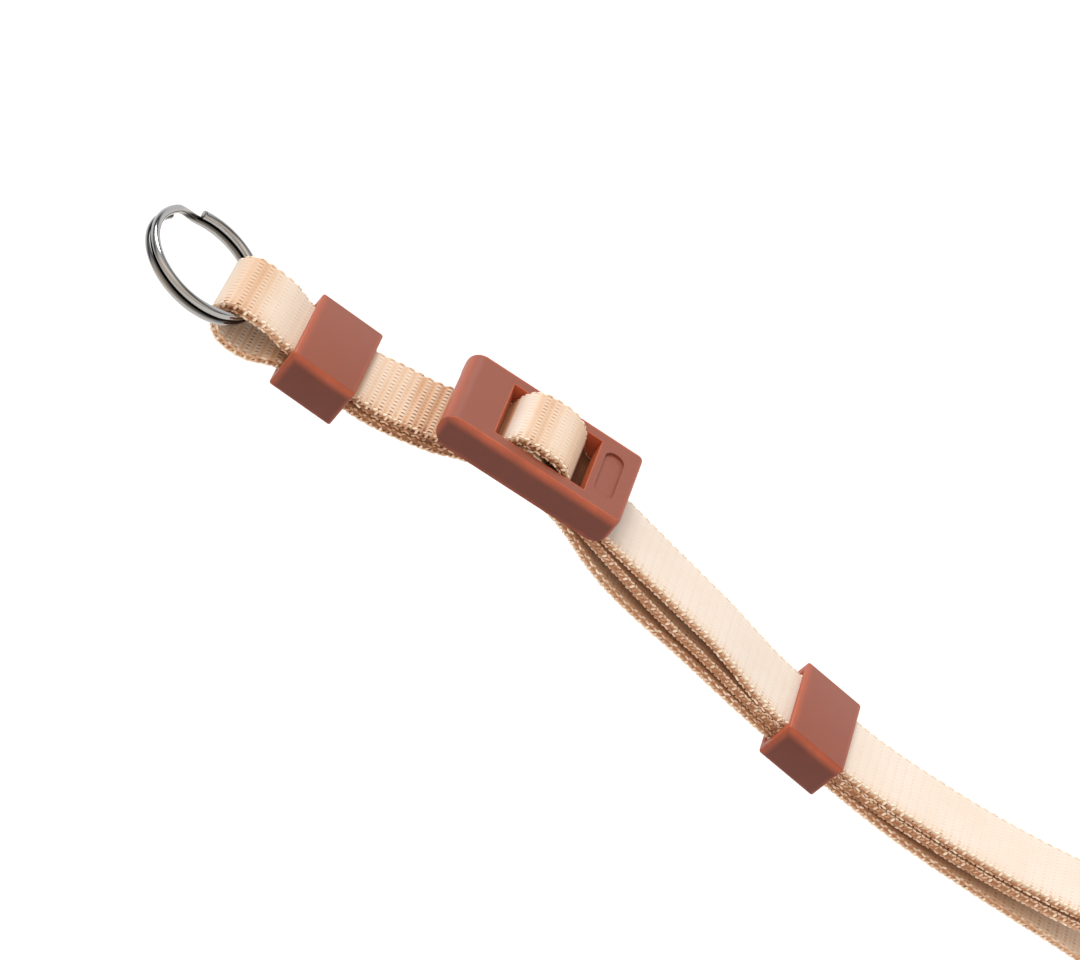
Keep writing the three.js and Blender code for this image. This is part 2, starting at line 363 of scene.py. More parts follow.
def sleeve():
    bpy.ops.mesh.primitive_cube_add(size=1)
    piece = bpy.context.object
    piece.scale = (KEEPER_LONG, KEEPER_ACROSS, KEEPER_THICK)
    bpy.ops.object.transform_apply(scale=True)
    select_only(piece, "FACE", lambda low, high: high.x - low.x < KEEPER_LONG / 2)
    wall = (KEEPER_THICK - KEEPER_HOLE_THICK) / 2
    bpy.ops.mesh.inset(thickness=wall)
    narrowed = KEEPER_HOLE_ACROSS / (KEEPER_ACROSS - 2 * wall)
    bpy.ops.transform.resize(value=(1, narrowed, 1))
    bpy.ops.mesh.bridge_edge_loops()
    bpy.ops.mesh.select_all(action="SELECT")
    bpy.ops.mesh.normals_make_consistent(inside=False)
    bpy.ops.object.mode_set(mode="OBJECT")
    finish_edges(piece, KEEPER_ROUND, segments=5)
    return piece


keeper_half = Vector((KEEPER_LONG, KEEPER_ACROSS, KEEPER_THICK)) / 2
pattern_sleeve = sleeve()
for node, slope in KEEPERS.items():
    keeper = pattern_sleeve.copy()
    keeper.data = pattern_sleeve.data.copy()
    keeper.name = "moulded_" + node
    bpy.context.collection.objects.link(keeper)
    keeper.data.transform(Matrix.LocRotScale(middle_of(node), Euler((0, slope, 0)), None))
    keeper.data.materials.append(moulded_plastic(
        "plastic of " + node, middle_of(node), slope, keeper_half, KEEPER_HOLE,
    ))
    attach(keeper, "root")
    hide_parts(node)
bpy.data.objects.remove(pattern_sleeve)


# ---------------------------------------------------------------- slider buckle
# One moulding in the same plastic: two deep side rails, a thinner bar across each end, and a bar
# across the middle that the tape is sewn round. The end bar by the wrist has a shallow thumb rest.

BUCKLE_LEFT = 12.8 * mm
BUCKLE_RIGHT = 12.3 * mm
BUCKLE_ACROSS = 14.2 * mm
BUCKLE_THICK = 4.8 * mm
END_BAR_THICK = 2.2 * mm
WINDOW_LONG = 13 * mm
WINDOW_ACROSS = 10.8 * mm
BUCKLE_SLOPE = math.radians(31.5)
# From the middle of the buckle's box to the middle of its window, on the top face.
WINDOW_FROM_MIDDLE = Vector((1.05, 0, 1.85)) * mm
# Along and above the middle of the window, and the radius of the corner there, seen from the side.
BUCKLE_CORNERS = [
    (-BUCKLE_LEFT, 0, 1.9 * mm), (-BUCKLE_LEFT, -BUCKLE_THICK, 2.6 * mm),
    (BUCKLE_RIGHT, -BUCKLE_THICK, 2.3 * mm), (BUCKLE_RIGHT, 0, 0.45 * mm),
]
BUCKLE_PLAN_ROUND = 0.9 * mm
BUCKLE_ROUND = 0.24 * mm
# A face is a wall of the window where it is within these, in mm from the middle of the buckle.
BUCKLE_WINDOW = (-6.3, 6.8), (-5.45, 5.45), (-9, 9)
CENTRE_BAR = {"along": -1.5 * mm, "depth": 2.4 * mm, "wide": 2.2 * mm, "high": 1.6 * mm}
# How far the ramped wall leans over the thickness of the end bar.
RAMP = 0.9 * mm
THUMB_REST = {"along": 8.85 * mm, "wide": 2.7 * mm, "across": 9.2 * mm, "depth": 0.35 * mm}
# A bevel of just under half the width makes a full round.
FULL_ROUND = 0.49


def block(low, high):
    """A block between two corners, with its place and size in its mesh."""
    low, high = Vector(low), Vector(high)
    bpy.ops.mesh.primitive_cube_add(size=1, location=(low + high) / 2)
    made = bpy.context.object
    made.scale = high - low
    bpy.ops.object.transform_apply(location=True, scale=True)
    return made


def combine(piece, other, operation):
    boolean = piece.modifiers.new(operation.lower(), "BOOLEAN")
    boolean.operation = operation
    boolean.object = other
    boolean.solver = "EXACT"
    bpy.context.view_layer.objects.active = piece
    bpy.ops.object.modifier_apply(modifier=boolean.name)
    bpy.data.objects.remove(other)


def runs_across(low, high):
    return high.y - low.y > 1 * mm


def slider_buckle():
    past = 2 * mm
    half_buckle, half_window, half_across = BUCKLE_ACROSS / 2, WINDOW_LONG / 2, WINDOW_ACROSS / 2
    body = block(
        (-BUCKLE_LEFT, -half_buckle - past, -BUCKLE_THICK), (BUCKLE_RIGHT, half_buckle + past, 0),
    )
    body.name = "moulded_slider_buckle"
    for along, above, radius in BUCKLE_CORNERS:
        select_only(body, "EDGE", lambda low, high: (
            runs_across(low, high) and math.dist((low.x, low.z), (along, above)) < 0.1 * mm
        ))
        round_selected(radius, segments=14)
    # Seen from above, the end by the wrist has rounded corners.
    plan = block(
        (-BUCKLE_LEFT - past, -half_buckle, -BUCKLE_THICK - past), (BUCKLE_RIGHT, half_buckle, past),
    )
    select_only(plan, "EDGE", lambda low, high: low.x > 0 and high.z - low.z > BUCKLE_THICK)
    round_selected(BUCKLE_PLAN_ROUND, segments=8)
    combine(body, plan, "INTERSECT")
    # The window's wall by the ring is a ramp that the tape slides up.
    lean = RAMP / END_BAR_THICK
    below = END_BAR_THICK + 0.5 * mm
    window = block(
        (-half_window - lean * past, -half_across, -below), (half_window, half_across, past),
    )
    select_only(window, "EDGE", lambda low, high: high.x < 0 and high.z < 0)
    bpy.ops.transform.translate(value=(lean * (past + below), 0, 0))
    bpy.ops.object.mode_set(mode="OBJECT")
    combine(body, window, "DIFFERENCE")
    channel = block(
        (-BUCKLE_LEFT - past, -half_across, -BUCKLE_THICK - past),
        (BUCKLE_RIGHT + past, half_across, -END_BAR_THICK),
    )
    combine(body, channel, "DIFFERENCE")
    bar_middle = Vector((CENTRE_BAR["along"], 0, -CENTRE_BAR["depth"]))
    # The centre bar ends halfway through the side rails.
    bar_across = (WINDOW_ACROSS + BUCKLE_ACROSS) / 2
    bar_half = Vector((CENTRE_BAR["wide"], bar_across, CENTRE_BAR["high"])) / 2
    bar = block(bar_middle - bar_half, bar_middle + bar_half)
    select_only(bar, "EDGE", runs_across)
    round_selected(FULL_ROUND * CENTRE_BAR["high"], segments=5)
    combine(body, bar, "UNION")
    rest_half = Vector((THUMB_REST["wide"], THUMB_REST["across"], 2 * THUMB_REST["depth"])) / 2
    rest = block(-rest_half, rest_half)
    select_only(rest, "EDGE", lambda low, high: high.z - low.z > THUMB_REST["depth"])
    round_selected(FULL_ROUND * THUMB_REST["wide"], segments=8)
    rest.data.transform(Matrix.Translation((THUMB_REST["along"], 0, 0)))
    combine(body, rest, "DIFFERENCE")
    finish_edges(body, BUCKLE_ROUND, segments=4)
    return body


buckle = slider_buckle()
buckle_top = middle_of("slider_buckle") + WINDOW_FROM_MIDDLE
buckle.data.transform(Matrix.LocRotScale(buckle_top, Euler((0, BUCKLE_SLOPE, 0)), None))
buckle_half = Vector((BUCKLE_LEFT + BUCKLE_RIGHT, BUCKLE_ACROSS, BUCKLE_THICK)) / 2
buckle_middle = Vector(((BUCKLE_RIGHT - BUCKLE_LEFT) / 2, 0, -BUCKLE_THICK / 2))
buckle_middle.rotate(Euler((0, BUCKLE_SLOPE, 0)))
buckle.data.materials.append(moulded_plastic(
    "plastic of slider_buckle", buckle_top + buckle_middle, BUCKLE_SLOPE, buckle_half, BUCKLE_WINDOW,
))
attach(buckle, "root")
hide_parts("slider_buckle")


# ---------------------------------------------------------------- webbing
# One length of 10 mm nylon tape, woven with its warp threads on both faces. One end is wrapped round
# the buckle's centre bar and sewn; the rest is threaded through the ring, keepers and buckle.

TAPE_WIDE = 10 * mm
TAPE_THICK = 1.2 * mm
TAPE_CORNER = 0.5 * mm
FACE_COLUMNS = 6
TAPE_STEP = 0.3 * mm
THREAD_PITCH = 0.65 * mm
WEFT_PITCH = 1.35 * mm
# Between two rows of its route the tape keeps each row's direction for this share of the way, and
# its length is measured over this many short steps.
BEND_HANDLE = 0.36
PROBES = 120
# Where the weave is crimped it stands up in ribs, higher and lower by turns along the tape, and
# each rib wanders a little on its way across.
RIB_HEIGHT = 0.05 * mm
RIB_SWELL = 0.5
SWELL_LENGTH = 3 * mm
WANDER = 0.8
WANDER_LENGTH = 1.1 * mm
WANDER_SLANT = 0.3
# A cut end is sealed with heat over a few steps, which rounds, thins and narrows it.
SEALED_STEPS = 3
SEALED_THICK = 0.55
SEALED_NARROWER = 0.02
# A face is darker by COVER_SHADE where another layer lies against it, with their middles COVER_NEAR
# apart, and no darker where they are COVER_FAR apart.
COVER_NEAR = 1.4 * mm
COVER_FAR = 4.0 * mm
COVER_SHADE = 0.38
# Down in the buckle, on each side of its centre bar, the tape gets darker from one depth to the
# next. The ramped wall lets more light down beside it.
PIT_FROM = 3.5 * mm
PIT_TO = 9 * mm
DARK_FROM = 0.8 * mm
DARK_DEPTH = 2.1 * mm
DARKEST = 0.96
DARKEST_BY_RAMP = 0.7

# Where a bend is measured from: a place in the strap's middle plane, and the slope of its long axis.
Start = namedtuple("Start", "at slope")
RING_KEEPER = Start(middle_of("keeper_ring_side"), -KEEPERS["keeper_ring_side"])
WRIST_KEEPER = Start(middle_of("keeper_wrist_side"), -KEEPERS["keeper_wrist_side"])
BUCKLE = Start(buckle_top, -BUCKLE_SLOPE)
# The place where the legs of the wrist loop part, from the wrist keeper.
LOOP = Start(WRIST_KEEPER.at + Vector((33.1, 0, -22.4)) * mm, math.radians(-28))

# The tape's middle line from its sewn end to its free end, a row for each fold or bend: how far along
# and above its start it is, in mm, which way it heads, in degrees, by how much the tape's near edge
# lies lower than its far edge, in mm, how far its weave is crimped up in ribs, from 0 to 1, and how
# much painted shade darkens it there, from 0 to 1.
Bend = namedtuple("Bend", "start along above turn roll crimp worn")
ROUTE = [
    # the sewn end, doubled back on the leg below it and wrapped over the buckle's centre bar
    Bend(BUCKLE, 3.2, -3.05, 172, 0, 0, 0),
    Bend(BUCKLE, 1.4, -2.65, 146, 0, 0, 0),
    Bend(BUCKLE, 0.6, -1.5, 114, 0, 0, 0),
    Bend(BUCKLE, -1.4, -0.5, 178, 0, 0, 0),
    Bend(BUCKLE, -3.6, -2.4, 270, 0, 0, 0),
    Bend(BUCKLE, -1.7, -4.15, 360, 0, 0, 0),
    # the middle leg, out to the wrist
    Bend(BUCKLE, 4.0, -4.4, 353, 0, 0, 0),
    Bend(BUCKLE, 10.5, -6.1, 342, 0, 0, 0),
    Bend(WRIST_KEEPER, -20, 1.05, 357, -0.3, 0.1, 0),
    Bend(WRIST_KEEPER, -4.55, 0, 360, 0.2, 0, 0),
    Bend(WRIST_KEEPER, 4.55, 0, 360, 0.2, 0, 0),
    Bend(WRIST_KEEPER, 20, 1.4, 369, 0, 0.1, 0),
    # round the wrist loop
    Bend(LOOP, 0, 1.6, 364, 0, 0.1, 0),
    Bend(LOOP, 26, 10, 386, 0, 0.15, 0),
    Bend(LOOP, 51, 22.5, 380, 0, 0.15, 0),
    Bend(LOOP, 75, 24, 343, 0, 0.15, 0),
    Bend(LOOP, 93, -1, 268, 0, 0.15, 0),
    Bend(LOOP, 71, -25, 189, 0, 0.15, 0),
    Bend(LOOP, 46, -20.5, 160, 0, 0.15, 0),
    Bend(LOOP, 25, -8, 155, 0, 0.15, 0),
    Bend(LOOP, 0, -2.1, 177, 0, 0.1, 0),
    # the bottom leg, back under the buckle to the keeper by the ring
    Bend(WRIST_KEEPER, 20, -0.8, 186, 0, 0.1, 0),
    Bend(WRIST_KEEPER, 4.55, -1.35, 180, 0.2, 0, 0),
    Bend(WRIST_KEEPER, -4.55, -1.35, 180, 0.2, 0, 0),
    Bend(WRIST_KEEPER, -20, -0.85, 177, -0.3, 0.1, 0),
    Bend(BUCKLE, 13.5, -9.75, 157, -0.2, 0.1, 0),
    Bend(BUCKLE, 6.7, -6.45, 160, 0, 0, 0),
    Bend(BUCKLE, -1.5, -5.55, 180, 0, 0, 0),
    Bend(BUCKLE, -6.6, -5.75, 192, 0.2, 0.1, 0.3),
    Bend(BUCKLE, -12.5, -7.8, 192, 0.5, 0.3, 0.3),
    Bend(RING_KEEPER, 4.55, -0.55, 177, 0.3, 0.2, 0.2),
    Bend(RING_KEEPER, -4.55, -1.3, 190, 0.2, 0.6, 0.1),
    # round the split ring
    Bend(RING_KEEPER, -9.4, -3.1, 188, 0.5, 1, 0),
    Bend(RING_KEEPER, -13.5, -2.0, 130, 0.9, 0.8, 0),
    Bend(RING_KEEPER, -14.9, 0.2, 90, 1.0, 0, 0),
    Bend(RING_KEEPER, -12.8, 2.3, 4, 1.0, 0.45, 0.32),
    Bend(RING_KEEPER, -8.6, 2.3, -6, 0.8, 0.15, 0.06),
    # the upper leg, through the keeper and up over the buckle's bar
    Bend(RING_KEEPER, -4.55, 1.35, -2, 0.3, 0.2, 0.1),
    Bend(RING_KEEPER, 4.55, 1.2, -4, 0.3, 0.35, 0.12),
    Bend(BUCKLE, -19.4, -7.35, 6, 1.0, 0.6, 0.2),
    Bend(BUCKLE, -12.4, -6.15, 16, 0.8, 1, 0.42),
    Bend(BUCKLE, -7.0, -4.15, 32, 0.3, 0.5, 0.3),
    Bend(BUCKLE, -4.65, -1.9, 78, 0.1, 0.1, 0.05),
    Bend(BUCKLE, -3.85, 0.2, 54, 0.2, 0.05, 0.0),
    Bend(BUCKLE, -1.9, 1.05, 5, 0.5, 0.65, 0.3),
    Bend(BUCKLE, 0.9, 1.1, -5, 0.5, 0.2, 0.1),
    Bend(BUCKLE, 3.3, 0.15, -42, 0.3, 0.35, 0.27),
    Bend(BUCKLE, 4.3, -1.6, -76, 0.1, 0, 0),
    Bend(BUCKLE, 6.4, -3.4, -16, 0, 0, 0),
    Bend(BUCKLE, 10.5, -4.6, -15, -0.2, 0, 0),
    # the free end, on top, through the wrist keeper and a little way along the loop
    Bend(WRIST_KEEPER, -20, 3.5, -5, -0.5, 0.1, 0),
    Bend(WRIST_KEEPER, -4.55, 1.35, 0, 0.3, 0, 0),
    Bend(WRIST_KEEPER, 4.55, 1.35, 0, 0.3, 0, 0),
    Bend(WRIST_KEEPER, 20, 3.0, 9, 0, 0.1, 0),
    Bend(LOOP, 0, 3.4, 5, 0, 0.1, 0),
    Bend(LOOP, 12, 5.85, 17, 0, 0, 0),
]

# A row as a place on the middle line: which way the tape heads there, what is up for it, and its
# surface, which is its roll, crimp and painted shade. Stations are places like it, at even steps.
Row = namedtuple("Row", "at heading up surface")
Station = namedtuple("Station", "at heading up roll crimp worn")


def tape_stations():
    """Stations along the tape at even steps: a cubic between each pair of rows."""
    rows = []
    for bend in ROUTE:
        slope = Matrix.Rotation(-bend.start.slope, 3, "Y")
        turn = math.radians(bend.turn)
        rows.append(Row(
            at=bend.start.at + slope @ Vector((bend.along, 0, bend.above)) * mm,
            heading=slope @ Vector((math.cos(turn), 0, math.sin(turn))),
            up=slope @ Vector((0, 0, 1)),
            surface=Vector((bend.roll, bend.crimp, bend.worn)),
        ))
    fine = []
    for start, end in zip(rows, rows[1:]):
        reach = BEND_HANDLE * (end.at - start.at).length
        corners = start.at, start.at + start.heading * reach, end.at - end.heading * reach, end.at
        for probe in range(PROBES):
            t = probe / PROBES
            s = 1 - t
            weights = s**3, 3 * s * s * t, 3 * s * t * t, t**3
            at = sum((corner * weight for corner, weight in zip(corners, weights)), Vector())
            up = start.up.lerp(end.up, ease(t))
            fine.append((at, up, start.surface.lerp(end.surface, ease(t))))
    fine.append((rows[-1].at, rows[-1].up, rows[-1].surface))
    lengths = [0.0]
    for before, after in zip(fine, fine[1:]):
        lengths.append(lengths[-1] + (after[0] - before[0]).length)
    count = round(lengths[-1] / TAPE_STEP)
    placed = []
    index = 0
    for step in range(count + 1):
        wanted = lengths[-1] * step / count
        while index < len(fine) - 2 and lengths[index + 1] < wanted:
            index += 1
        share = (wanted - lengths[index]) / (lengths[index + 1] - lengths[index])
        before, after = fine[index], fine[index + 1]
        placed.append([here.lerp(there, share) for here, there in zip(before, after)])
    stations = []
    for step, (at, up, (roll, crimp, worn)) in enumerate(placed):
        heading = (placed[min(step + 1, count)][0] - placed[max(step - 1, 0)][0]).normalized()
        stations.append(Station(at, heading, up.normalized(), roll * mm, crimp, worn))
    return stations, lengths[-1]


def tape_point(along, across, outwards):
    """A point on the tape: so far along it, across it from its middle, and out from its middle line."""
    # This stops just short of the last station, so that there is always one after it.
    place = min(max(along / tape_length, 0), 0.9999999) * (len(stations) - 1)
    index = int(place)
    share = place - index
    before, after = stations[index], stations[index + 1]
    heading = before.heading.lerp(after.heading, share).normalized()
    normal = Vector((-heading.z, 0, heading.x))
    roll = before.roll + (after.roll - before.roll) * share
    crimp = before.crimp + (after.crimp - before.crimp) * share
    # Each rib's crest is where the weft threads cross, halfway along a pitch.
    rib = -math.cos(2 * math.pi * along / WEFT_PITCH)
    rib = rib * (1 + RIB_SWELL * math.sin(along / SWELL_LENGTH))
    wander = WANDER * math.sin((along + WANDER_SLANT * across) / WANDER_LENGTH)
    lift = roll * across / TAPE_WIDE + RIB_HEIGHT * crimp * (rib + wander)
    return before.at.lerp(after.at, share) + normal * outwards + before.up * lift + Vector((0, across, 0))


def tape_section():
    """(across, outwards, round) for points right round the tape: round is the distance from the
    middle of the face, and the first and last points are both at the middle of the back."""
    flat = TAPE_WIDE / 2 - TAPE_CORNER
    half = [(flat * column / FACE_COLUMNS, TAPE_THICK / 2) for column in range(FACE_COLUMNS + 1)]
    for turn in map(math.radians, (67.5, 45, 22.5, 0)):
        outwards = TAPE_THICK / 2 - TAPE_CORNER + TAPE_CORNER * math.sin(turn)
        half.append((flat + TAPE_CORNER * math.cos(turn), outwards))
    half += [(across, -outwards) for across, outwards in reversed(half)]
    rounds = [0.0]
    for before, after in zip(half, half[1:]):
        rounds.append(rounds[-1] + math.dist(before, after))
    right = [(across, outwards, rnd) for (across, outwards), rnd in zip(half, rounds)]
    left = [(-across, outwards, -rnd) for across, outwards, rnd in reversed(right[1:])]
    return left + right


# The colours of the yarn in painted shades, from the deepest painted shade to fully lit.
NYLON = [
    (0.0, shades(0.085, 0.026, 0.008)), (0.12, shades(0.26, 0.105, 0.045)),
    (0.45, shades(0.56, 0.315, 0.175)), (0.75, shades(0.67, 0.50, 0.365)),
    (1.0, shades(0.728, 0.64, 0.56)),
]
COVERED_NYLON = shades(0.40, 0.18, 0.085)


def woven_nylon(name):
    """Warp threads lie side by side and dip in rows, where the weft threads cross them, with painted
    shade in the dips and painted highlight on the beads where they cross. The more the weave is
    crimped, the deeper the dips show."""
    material, shader, start = new_finish(
        name, Specular_IOR_Level=0.25, Sheen_Weight=0.06, Sheen_Roughness=0.4,
        Sheen_Tint=shades(1.0, 0.88, 0.72),
    )
    place = start.node("ShaderNodeUVMap", {"uv_map": "tape"})
    along, around = (part / mm for part in place.parts()[:2])
    crimp, shade, worn = (
        start.node("ShaderNodeAttribute", {"attribute_name": name}, output="Fac")
        for name in ("crimp", "shade", "worn")
    )
    # Painted shade: the first for the layers and the buckle over the tape, the second for the darker
    # stretches given in the route.
    darker = shade + worn
    # Ridges are the warp threads, rows are where the weft crosses them, and the other ridges and
    # rows are those halfway between.
    half_turn = around * (math.pi * mm / THREAD_PITCH)
    ridge = half_turn.call("SINE").call("ABSOLUTE")
    other_ridge = half_turn.call("COSINE").call("ABSOLUTE")
    from_row = ((along * (mm / WEFT_PITCH)).call("FRACT") - 0.5).call("ABSOLUTE") * 2
    row = from_row.between(0.55, 0.15)
    other_row = from_row.between(0.5, 0.9)
    dashes = row * (1 - ridge).between(0.3, 1.0)
    faint_dashes = other_row * (1 - other_ridge).between(0.4, 1.0) * 0.3
    beads = row * ridge
    # A shaded line where each face turns over into the edge.
    from_middle = around.call("ABSOLUTE")
    edge = from_middle.between(4.95, 5.2) * from_middle.between(5.8, 5.55)
    # The edge that hangs lowest has taken up some dust between its threads.
    dusty = around.between(-3.0, -4.7) * (row + other_row * 0.6) * (1 - ridge * 0.6)
    drawn_out = start.node("ShaderNodeMapping", None, {"Vector": place, "Scale": (500.0, 8000.0, 1.0)})
    fibres = drawn_out.mottle(1.0, 2.0)
    squeezed = start.node("ShaderNodeMapping", None, {"Vector": place, "Scale": (520.0, 60.0, 1.0)})
    bands = squeezed.mottle(1.0, 2.0)
    cloudy = place.mottle(160.0, 3.0)
    patchy = cloudy.between(0.35, 0.65)
    # Painted shade and highlight: the dashes in the dips darken more where the tape is crimped or shaded,
    # the beads lighten, and crimped stretches get darker and painted lighter and darker bands.
    contrast = (0.1 + crimp * 0.55 + darker * 0.35) * (0.5 + patchy * 0.8)
    tone = 0.95 + patchy * 0.05 + (fibres - 0.5) * 0.2 - crimp * 0.06 - darker
    tone = tone + beads * crimp * 0.28 - (dashes + faint_dashes) * contrast
    tone = tone - other_row * crimp * 0.1 - (bands - 0.5) * crimp * 0.5 - edge * 0.45
    tone = tone - dusty * fibres.between(0.4, 0.6) * (0.35 + patchy * 0.45)
    nylon = start.node("ShaderNodeValToRGB", {"stops": NYLON}, {"Fac": tone})
    # Light that reaches a covered face has been through the layers round it, and is redder.
    covered = shade.between(0.08, 0.3) * shade.between(0.9, 0.5)
    start.feed(shader.inputs["Base Color"], (covered * 0.6).mix(nylon, COVERED_NYLON))
    start.feed(shader.inputs["Roughness"], 0.48 + cloudy * 0.12)
    height = beads * 0.5 - dashes + fibres * 0.35
    bump = {"Height": height, "Distance": 0.08 * mm, "Strength": 0.4}
    start.feed(shader.inputs["Normal"], start.node("ShaderNodeBump", None, bump))
    return material


def shaded_by():
    """How much darker each face of the tape is at each station, from 0 to 1, for the layer over it
    or for being down in the buckle. Face 1 is the one outwards of the middle line."""
    tree = KDTree(len(stations))
    for index, station in enumerate(stations):
        tree.insert(station.at, index)
    tree.balance()
    faces_shaded = []
    for index, station in enumerate(stations):
        normal = Vector((-station.heading.z, 0, station.heading.x))
        nearest = {1: COVER_FAR, -1: COVER_FAR}
        for place, other, distance in tree.find_range(station.at, COVER_FAR):
            # What counts is another layer, well along the tape from here and squarely over it.
            over = (place - station.at).dot(normal)
            if abs(other - index) * TAPE_STEP > 3 * TAPE_THICK and abs(over) > 0.8 * distance:
                face = 1 if over > 0 else -1
                nearest[face] = min(nearest[face], distance)
        in_buckle = station.at - buckle_top
        in_buckle.rotate(Euler((0, -BUCKLE_SLOPE, 0)))
        sunk = 0
        if PIT_FROM < abs(in_buckle.x) < PIT_TO and in_buckle.z > -BUCKLE_THICK:
            sunk = (-in_buckle.z - DARK_FROM) / (DARK_DEPTH - DARK_FROM)
            sunk = min(sunk, DARKEST_BY_RAMP if in_buckle.x < 0 else DARKEST)
        faces_shaded.append({})
        for face, gap in nearest.items():
            covered = (COVER_FAR - max(gap, COVER_NEAR)) / (COVER_FAR - COVER_NEAR)
            faces_shaded[-1][face] = max(COVER_SHADE * covered, sunk)
    return faces_shaded


def tape():
    section = tape_section()
    points_round = len(section) - 1
    last = len(stations) - 1
    points, crimps, painted_dimmings, shadings = [], [], [], []
    for step in range(last + 1):
        along = tape_length * step / last
        from_end = min(min(step, last - step) / SEALED_STEPS, 1.0)
        full = SEALED_THICK + (1 - SEALED_THICK) * math.sqrt(from_end)
        narrower = 1 - SEALED_NARROWER * (1 - full)
        for across, outwards, _ in section[:-1]:
            points.append(tape_point(along, across * narrower, outwards * full))
            shadings.append(shaded[step][1 if outwards > 0 else -1])
        crimps += [stations[step].crimp] * points_round
        painted_dimmings += [stations[step].worn] * points_round
    faces = []
    corners = []
    for step in range(last):
        here, there = step * points_round, (step + 1) * points_round
        low, high = tape_length * step / last, tape_length * (step + 1) / last
        for index in range(points_round):
            follower = (index + 1) % points_round
            faces.append((here + index, here + follower, there + follower, there + index))
            first, second = section[index][2], section[index + 1][2]
            corners += [low, first, low, second, high, second, high, first]
    first_rim = list(range(points_round))
    last_rim = [last * points_round + index for index in first_rim]
    faces += [first_rim[::-1], last_rim]
    corners += [0.0, 0.0] * points_round + [tape_length, 0.0] * points_round
    mesh = bpy.data.meshes.new("woven_tape")
    mesh.from_pydata(points, [], faces)
    mesh.uv_layers.new(name="tape").uv.foreach_set("vector", corners)
    for name, values in (("crimp", crimps), ("worn", painted_dimmings), ("shade", shadings)):
        mesh.attributes.new(name, "FLOAT", "POINT").data.foreach_set("value", values)
    piece = bpy.data.objects.new("woven_tape", mesh)
    bpy.context.collection.objects.link(piece)
    bpy.ops.object.select_all(action="DESELECT")
    piece.select_set(True)
    bpy.context.view_layer.objects.active = piece
    bpy.ops.object.shade_smooth_by_angle(angle=math.radians(60))
    mesh.materials.append(woven_nylon("woven nylon"))
    return piece


stations, tape_length = tape_stations()
shaded = shaded_by()
webbing = tape()
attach(webbing, "root")
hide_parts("webbing")


# ---------------------------------------------------------------- selvedge stitches
# Along both edges of the tape the weft turns back round a catch thread. Each turn shows as one
# upright loop with slanting stitches beside it, and shorter ones where it goes over each face.

# One turn of the weft: how far along the pitch, in from the edge and out from the middle line each
# stitch lies, its half sizes along itself, in and out, its slant in degrees, and its tone.
Stitch = namedtuple("Stitch", "along inset outwards half slant tone")
# Part of each tone is painted light and shade: the upright loop and the stitches over the upper face are
# lighter, as they catch the light from above, and the rest darker.
STITCHES = [
    Stitch(0.50, 0.00, 0.22, (0.36, 0.18, 0.19), 70, 0.98),
    Stitch(1.04, 0.08, 0.08, (0.42, 0.12, 0.14), 22, 0.55),
    Stitch(0.80, 0.02, -0.38, (0.42, 0.15, 0.16), -16, 0.7),
    Stitch(0.20, 0.20, 0.53, (0.34, 0.17, 0.11), 14, 1.15),
    Stitch(0.92, 0.22, 0.54, (0.30, 0.16, 0.11), -16, 1.1),
    Stitch(0.35, 0.14, -0.52, (0.32, 0.15, 0.12), 12, 0.75),
]
STITCH_SIDES = 6
# How far chance changes a stitch's size, its slant in degrees and its tone, and how much of the
# tape's painted shade it takes.
SIZE_CHANCE = 0.25
SLANT_CHANCE = 12
TONE_CHANCE = 0.6
STITCH_SHADE = 0.8


def stitch_pattern():
    """The corners and faces of one plump stitch of unit size, lying along X."""
    bpy.ops.mesh.primitive_uv_sphere_add(
        segments=STITCH_SIDES, ring_count=4, radius=1, rotation=(0, math.pi / 2, 0),
    )
    pattern = bpy.context.object
    bpy.ops.object.transform_apply(rotation=True)
    corners = [vertex.co.copy() for vertex in pattern.data.vertices]
    faces = [tuple(face.vertices) for face in pattern.data.polygons]
    bpy.data.objects.remove(pattern)
    return corners, faces


def stitched_row(name, placed, material):
    """One mesh of many stitches. Each is a list of corners and the tone that it shows."""
    points, faces, tones = [], [], []
    for corners, pattern_faces, tone in placed:
        first = len(points)
        points += corners
        faces += [tuple(first + index for index in face) for face in pattern_faces]
        tones += [tone] * len(corners)
    mesh = bpy.data.meshes.new(name)
    mesh.from_pydata(points, [], faces)
    mesh.attributes.new("tone", "FLOAT", "POINT").data.foreach_set("value", tones)
    piece = bpy.data.objects.new(name, mesh)
    bpy.context.collection.objects.link(piece)
    mesh.polygons.foreach_set("use_smooth", [True] * len(faces))
    mesh.materials.append(material)
    return piece


STITCH_NYLON = [
    (0.0, shades(0.20, 0.075, 0.030)), (0.5, shades(0.62, 0.36, 0.22)),
    (1.0, shades(0.90, 0.75, 0.60)),
]


def stitch_thread():
    material, shader, start = new_finish("stitch thread", Roughness=0.5)
    tone = start.node("ShaderNodeAttribute", {"attribute_name": "tone"}, output="Fac")
    nylon = start.node("ShaderNodeValToRGB", {"stops": STITCH_NYLON}, {"Fac": tone})
    start.feed(shader.inputs["Base Color"], nylon)
    return material


